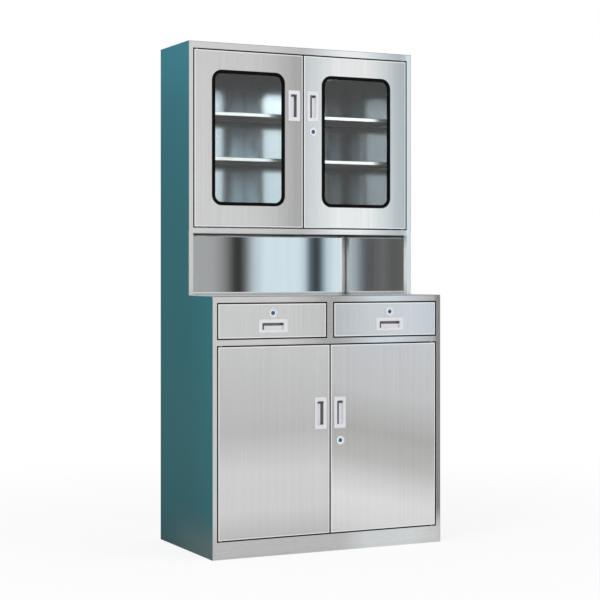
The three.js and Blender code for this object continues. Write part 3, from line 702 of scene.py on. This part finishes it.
def shelf_painted_highlight_and_shade(place):
    """Painted highlight on the front edge, and painted shade behind it."""
    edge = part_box("upper_shelf_top")[0].y
    return place.along(
        BACKWARDS,
        (edge, grey(1.0)), (edge + 0.003, grey(0.95)), (edge + 0.005, grey(0.10)), (0.25, grey(0.12)),
    )


shelf_steel = brushed("shelf_steel", level, 0.92, 0.42, shelf_painted_highlight_and_shade)
base_shelf_steel = brushed("base_shelf_steel", level, 0.66, 0.3)
shelves = {"upper_shelf_bottom": shelf_steel, "upper_shelf_top": shelf_steel}
shelves["base_shelf"] = base_shelf_steel
for node, steel in shelves.items():
    low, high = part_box(node)
    piece = block(node + "_tray", low, high)
    round_edges(piece, on_front_top(low.y, high.z), SHELF_EDGE, 4)
    hollow = underside(low, high)
    round_edges(hollow, on_front_top(low.y + SHEET, high.z - SHEET), SHELF_EDGE - SHEET, 4)
    cut(piece, hollow)
    smooth(piece)
    fit(piece, "carcass", "brushed_steel", steel, node)

# Ledges, runners and hinge pins: plain zinc-plated steel, with the cloudy spangle of the plating. The ledges
# and runners are fixed inside the unit, and the pins join the doors to the face frames.
zinc_plate, shader, place = finish("zinc_plate", metallic=1.0)
spangle = place.node("ShaderNodeTexVoronoi", {}, {"Vector": place, "Scale": 160.0}, "Color").part(0)
haze = place.grain(30, 3.0)
feed(
    shader,
    base_color=spangle.between((0.36, 0.37, 0.38, 1), (0.5, 0.51, 0.52, 1)),
    roughness=0.34 + haze * 0.2,
    normal=bumped(haze, 0.03, 0.0003),
)
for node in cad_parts:
    if node.endswith(("_shelf_support", "_shelf_ledge", "_runner", "_pin")):
        dress(node, zinc_plate)

# Doors and drawer fronts: shallow pans of vertically brushed sheet, folded back all round on a 3 mm corner,
# and cut out for the pull, the lock, the hinge pins and, in the upper doors, the window. A drawer front has
# a return fold round its open back.
CORNER = 0.0032
RETURN_FOLD = 0.012
PULL_HOLE = 0.0158, 0.0433
LOCK_HOLE = 0.0098
WINDOW_RADIUS, SHEET_GRIP = 0.038, 0.004


def along_depth(a, b):
    return abs(a.x - b.x) < 1e-6 and abs(a.z - b.z) < 1e-6


def rounded_block(name, low, high, radius, steps=8):
    """A block with its four corners rounded, as seen from the front."""
    made = block(name, low, high)
    round_edges(made, along_depth, radius, steps)
    return made


def folded_front(name, low, high, back_edge):
    """A pan with its face to the front: the outer corner is a press-brake fold, the inside follows it, and
    the back is open within an edge."""
    piece = block(name, low, high)
    round_edges(piece, on_plane(low.y), CORNER, 4)
    inner = Vector((SHEET, SHEET, SHEET))
    hollow = block("hollow", low + inner, high - inner)
    round_edges(hollow, on_plane(low.y + SHEET), CORNER - SHEET, 4)
    mouth_low = low.x + back_edge, high.y - 4 * SHEET, low.z + back_edge
    mouth = block("mouth", mouth_low, (high.x - back_edge, high.y + PAST, high.z - back_edge))
    cut(piece, hollow, mouth)
    return piece


def pull_hole(node):
    """The cut for a pull's cup, which the rim covers."""
    low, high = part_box(node)
    standing = high.z - low.z > high.x - low.x
    across, up = PULL_HOLE if standing else reversed(PULL_HOLE)
    at = middle(node)
    start, end = (at.x - across, low.y - PAST, at.z - up), (at.x + across, low.y + PAST, at.z + up)
    return block("pull_hole", start, end)


def lock_hole(node, face):
    at = middle(node)
    return rod("lock_hole", LOCK_HOLE, (at.x, face - PAST, at.z), (at.x, face + PAST / 2, at.z))


def window_plate(low, high, front, back, inset):
    """A plate with the outline of a window's rubber, drawn in by the inset."""
    start, end = (low.x + inset, front, low.z + inset), (high.x - inset, back, high.z - inset)
    return rounded_block("window_plate", start, end, WINDOW_RADIUS - inset, 12)


# Painted sheen on the upper doors: bands of painted light and dark from side to side, and down the door.
def upper_door_painted_sheen(place):
    return place.along(
        SIDEWAYS,
        (-0.43, grey(0.74)), (-0.21, grey(0.72)), (-0.12, grey(0.65)), (-0.03, grey(0.50)),
        (-0.001, grey(0.49)), (0.001, (0.70, 0.75, 0.76, 1)), (0.05, (0.78, 0.83, 0.84, 1)),
        (0.14, (0.97, 1.0, 1.0, 1)), (0.26, (0.98, 1.0, 1.0, 1)), (0.34, (0.74, 0.80, 0.82, 1)),
        (0.40, (0.55, 0.62, 0.65, 1)), (0.43, (0.53, 0.60, 0.64, 1)),
    ).times(place.along(UPWARDS, (1.14, grey(1.05)), (1.78, grey(0.955))))


# Painted sheen on the left base door: bands of painted light and dark up the door.
def base_left_painted_sheen(place):
    return place.along(
        UPWARDS,
        (0.06, grey(0.65)), (0.10, grey(0.71)), (0.16, grey(0.80)), (0.29, grey(0.80)), (0.36, grey(0.71)),
        (0.43, grey(0.625)), (0.57, grey(0.68)), (0.73, grey(0.74)),
    )


# Painted sheen on the right base door: slanting bands of painted light and dark.
def base_right_painted_sheen(place):
    slanting = (0.22, 0, 1)
    return place.along(
        slanting,
        (0.06, grey(0.78)), (0.13, grey(0.90)), (0.21, grey(0.92)), (0.28, grey(0.78)),
        (0.35, (0.61, 0.605, 0.60, 1)), (0.45, (0.53, 0.525, 0.515, 1)), (0.52, grey(0.59)),
        (0.60, (0.67, 0.68, 0.69, 1)), (0.82, (0.71, 0.73, 0.76, 1)),
    )


# Painted sheen on the drawer fronts: bands of painted light and dark from side to side.
def drawer_painted_sheen(place):
    return place.along(
        SIDEWAYS,
        (-0.43, grey(0.76)), (-0.15, grey(0.76)), (-0.02, grey(0.68)), (0.02, (0.62, 0.65, 0.68, 1)),
        (0.15, (0.72, 0.77, 0.80, 1)), (0.33, (0.76, 0.82, 0.87, 1)), (0.43, (0.68, 0.73, 0.79, 1)),
    )


def leaf_steel(name, painted_sheen, leaf):
    return brushed(name, upright, 0.87, 0.24, painted_sheen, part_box(leaf)[0].y, leaf)


upper_steel = leaf_steel("upper_door_steel", upper_door_painted_sheen, "upper_right_door_skin")
base_left_steel = leaf_steel("base_left_door_steel", base_left_painted_sheen, "base_right_door_skin")
base_right_steel = leaf_steel("base_right_door_steel", base_right_painted_sheen, "base_right_door_skin")
drawer_steel = leaf_steel("drawer_front_steel", drawer_painted_sheen, "right_drawer_front")
doors = {
    "upper_left_door": upper_steel,
    "upper_right_door": upper_steel,
    "base_left_door": base_left_steel,
    "base_right_door": base_right_steel,
}
for door, steel in doors.items():
    low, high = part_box(door + "_skin")
    piece = folded_front(door + "_face", low, high, SHEET)
    cut(piece, pull_hole(door + "_pull"), *pin_holes(door))
    if door + "_lock_barrel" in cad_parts:
        cut(piece, lock_hole(door + "_lock_barrel", low.y))
    if door + "_gasket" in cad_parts:
        cut(piece, window_plate(*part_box(door + "_gasket"), low.y - PAST, low.y + PAST, SHEET_GRIP))
    smooth(piece)
    fit(piece, door, "brushed_steel", steel, door + "_skin")
    dress(door + "_liner", upright_steel)

drawers = "left_drawer", "right_drawer"
for drawer in drawers:
    low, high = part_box(drawer + "_front")
    piece = folded_front(drawer + "_face", low, high, RETURN_FOLD)
    cut(piece, pull_hole(drawer + "_pull"), lock_hole(drawer + "_lock_barrel", low.y))
    smooth(piece)
    fit(piece, drawer, "brushed_steel", drawer_steel, drawer + "_front")
    dress(drawer + "_tray", level_steel)

# Window gaskets and glass: black rubber of an H section, pushed over the cut edge of the sheet outside and
# the pane inside, with soft lips that stand proud of the door. The panes are clear float glass.
BAND, PANE = 0.012, 0.004
SHEET_WEB, PANE_WEB = 0.0043, 0.0068
CLEARANCE = 0.0003
LIP_ROUND = 0.0012


def copied(model, name):
    """A copy with its own mesh."""
    made = model.copy()
    made.data = model.data.copy()
    made.name = name
    scene.collection.objects.link(made)
    return made


black_rubber, shader, place = finish("black_rubber", specular_ior_level=0.05)
dust = place.grain(420, 3.0)
feed(
    shader,
    base_color=dust.stretched(0.4, 0.9).between(grey(0.002), grey(0.006)),
    roughness=0.45 + dust * 0.2,
    normal=bumped(dust, 0.12, 0.0002),
)
clear_glass, shader, place = finish(
    "clear_glass", base_color=(0.93, 0.97, 0.965, 1), transmission_weight=1.0, ior=1.45
)
wiped = place.grain(7, 3.0).stretched(0.4, 0.8)
feed(shader, roughness=0.004 + wiped * 0.012)

upper_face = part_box("upper_left_door_skin")[0].y
low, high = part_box("upper_left_door_gasket")
rubber = window_plate(low, high, low.y, high.y, 0.0)
cut(rubber, window_plate(low, high, low.y - PAST, high.y + PAST, BAND))
round_edges(rubber, on_plane(low.y), LIP_ROUND, 3)
sheet_groove = window_plate(low, high, upper_face - CLEARANCE, upper_face + SHEET + CLEARANCE, -PAST)
cut(sheet_groove, window_plate(low, high, upper_face - PAST, upper_face + PAST, SHEET_WEB))
pane_groove = window_plate(low, high, upper_face - CLEARANCE, upper_face + PANE + CLEARANCE, PANE_WEB)
cut(rubber, sheet_groove, pane_groove)
rubber.name = "upper_left_door_rubber"
smooth(rubber)
other = copied(rubber, "upper_right_door_rubber")
step = middle("upper_right_door_gasket") - middle("upper_left_door_gasket")
other.data.transform(Matrix.Translation(step))
for piece, door in ((rubber, "upper_left_door"), (other, "upper_right_door")):
    fit(piece, door, "black_rubber", black_rubber, door + "_gasket")
    dress(door + "_glass", clear_glass)

# Recessed pulls: moulded silver plastic cups clipped into the sheet. A trench for the fingertips runs along
# the hook side and across one end, beside a raised floor.
RIM_PROUD = 0.0023
MOUTH_LEFT, MOUTH_RIGHT, MOUTH_HALF = -0.013, 0.011, 0.0415
RAISED_FLOOR, TRENCH_FLOOR = 0.005, 0.014
TRENCH_LEFT, TRENCH_RIGHT, END_TRENCH = 0.001, 0.014, 0.0325
CUP_WALL = 0.0015
HAIR = 0.0001


def behind_face(place):
    """How far a place lies behind the front of its unit, for fittings that are used on both units."""
    base_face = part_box("base_left_door_skin")[0].y
    upper = place.part(2) > 1.0
    return place.part(1) - (upper * (upper_face - base_face) + base_face)


def set_in(piece, node, proud):
    """Moves a fitting that was made about the middle of its hole, from the sheet's front, to its place."""
    at = middle(node)
    piece.data.transform(Matrix.Translation((at.x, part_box(node)[0].y + proud, at.z)))


silver_plastic, shader, place = finish("silver_plastic", metallic=0.15)
flow = place.grain(60, 2.0)
silver = flow.between((0.66, 0.67, 0.70, 1), (0.73, 0.74, 0.77, 1))
# Painted shade: the plastic is painted dark deeper in the cup.
feed(
    shader,
    base_color=behind_face(place).stretched(0.0055, 0.012).between(silver, (0.24, 0.24, 0.25, 1)),
    roughness=0.32 + flow * 0.1,
    normal=bumped(place.grain(900, 2.0), 0.05, 0.0001),
)
low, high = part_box("upper_left_door_pull")
half = (high - low) / 2
pull = rounded_block("pull", (-half.x, -RIM_PROUD, -half.z), (half.x, -CLEARANCE, half.z), 0.0025, 4)
round_edges(pull, on_plane(-RIM_PROUD), 0.0009, 3)
cup_end = MOUTH_HALF + CUP_WALL
cup_back = TRENCH_RIGHT + CUP_WALL, TRENCH_FLOOR + CUP_WALL, cup_end
add(pull, block("cup", (MOUTH_LEFT - CUP_WALL, 5 * HAIR - RIM_PROUD, -cup_end), cup_back))
mouth_back = MOUTH_RIGHT, RAISED_FLOOR, MOUTH_HALF
cut(pull, rounded_block("mouth", (MOUTH_LEFT, -PAST, -MOUTH_HALF), mouth_back, 0.0022, 4))


def round_the_mouth(a, b):
    within = max(abs(a.x), abs(b.x)) < 0.0135 and max(abs(a.z), abs(b.z)) < 0.042
    return within and on_plane(-RIM_PROUD)(a, b)


round_edges(pull, round_the_mouth, 0.0007, 3)
trench_end = MOUTH_HALF - HAIR
trench_back = TRENCH_RIGHT, TRENCH_FLOOR, trench_end
end_trench = (MOUTH_LEFT + HAIR, HAIR, END_TRENCH), (MOUTH_RIGHT - HAIR, TRENCH_FLOOR, trench_end)
cut(
    pull,
    rounded_block("trench", (TRENCH_LEFT, HAIR, -trench_end), trench_back, 0.002, 4),
    block("end_trench", *end_trench),
)
smooth(pull)
for owner in (*doors, *drawers):
    piece = copied(pull, owner + "_grip")
    if owner in drawers:
        piece.data.transform(Matrix.Rotation(-math.pi / 2, 4, "Y"))
    elif "right" in owner:
        piece.data.transform(Matrix.Scale(-1, 4, SIDEWAYS))
        piece.data.flip_normals()
    set_in(piece, owner + "_pull", RIM_PROUD)
    fit(piece, owner, "silver_plastic", silver_plastic, owner + "_pull")
bpy.data.objects.remove(pull)

# Cam locks: a polished flange and barrel held by a flat nut behind the door, and a blued core with its
# keyway. The cam on the core's back end swings behind the other door or the rail.
FLANGE, DISH, SHANK, BORE, CORE = 0.015, 0.0122, 0.0095, 0.0078, 0.0075
LOCK_PROUD, CORE_PROUD = 0.0033, 0.0032
NUT, NUT_FRONT, NUT_BACK = 0.0135, 0.0203, 0.0218
CAM_HALF, CAM_FRONT, CAM_BACK = 0.007, 0.0223, 0.0253
SCREW, SCREW_BACK = 0.0048, 0.0278


def turned(name, radius, front, back, steps):
    """A round or six-sided bar about the lock's middle, measured back from the sheet's front."""
    return rod(name, radius, (0, front, 0), (0, back, 0), steps)


lock_chrome, shader, place = finish("lock_chrome", metallic=1.0)
rubbed = place.grain(240, 2.0)
feed(shader, base_color=rubbed.between((0.97, 0.98, 1.0, 1), grey(1.0)), roughness=0.08 + rubbed * 0.06)
lock_blue, shader, place = finish("lock_blue", metallic=1.0)
grooves = place.grain(520, 2.0)
blued = grooves.between((0.05, 0.12, 0.24, 1), (0.11, 0.20, 0.36, 1))
plated = grooves.between(grey(0.42), grey(0.55))
feed(
    shader,
    base_color=(behind_face(place) > NUT_BACK - 0.0003).between(blued, plated),
    roughness=0.2 + grooves * 0.12,
)
barrel = turned("barrel", FLANGE, -LOCK_PROUD, -CLEARANCE, 64)
round_edges(barrel, on_plane(-LOCK_PROUD), 0.0013, 4)
add(barrel, turned("shank", SHANK, -0.001, 0.022, 48))
nut = turned("nut", NUT, NUT_FRONT, NUT_BACK, 6)
round_edges(nut, on_plane(NUT_BACK), 0.0005, 1)
add(barrel, nut)
dish = turned("dish", DISH, -PAST, -CLEARANCE, 64)
round_edges(dish, on_plane(-CLEARANCE), 0.0028, 5)
cut(barrel, dish, turned("bore", BORE, -2 * PAST, 3 * PAST, 48))
smooth(barrel)
for owner in ("upper_right_door", "base_right_door", *drawers):
    piece = copied(barrel, owner + "_lock_body")
    set_in(piece, owner + "_lock_barrel", LOCK_PROUD)
    fit(piece, owner, "chrome_lock", lock_chrome, owner + "_lock_barrel")

    low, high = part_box(owner + "_lock_core")
    reach = max(high.z - low.z, high.x - low.x) - CORE
    core = turned("core", CORE, -CORE_PROUD, CAM_BACK - 0.0005, 48)
    round_edges(core, on_plane(-CORE_PROUD), 0.0034, 6)
    cam_start, cam_end = (-CAM_HALF, CAM_FRONT, -reach), (CAM_HALF, CAM_BACK, CAM_HALF)
    add(core, rounded_block("cam", cam_start, cam_end, 0.0066, 6))
    screw = turned("screw", SCREW, CAM_BACK - 0.0003, SCREW_BACK, 6)
    round_edges(screw, on_plane(SCREW_BACK), 0.0005, 1)
    add(core, screw)
    cut(core, rounded_block("keyway", (-0.001, -PAST, -0.0045), (0.001, 0.0055, 0.0045), 0.0006, 3))
    smooth(core)
    core.name = owner + "_lock_plug"
    if owner in drawers:
        core.data.transform(Matrix.Rotation(math.pi / 2, 4, "Y"))
    set_in(core, owner + "_lock_barrel", LOCK_PROUD)
    fit(core, owner + "_lock", "blue_lock_core", lock_blue, owner + "_lock_core")
bpy.data.objects.remove(barrel)
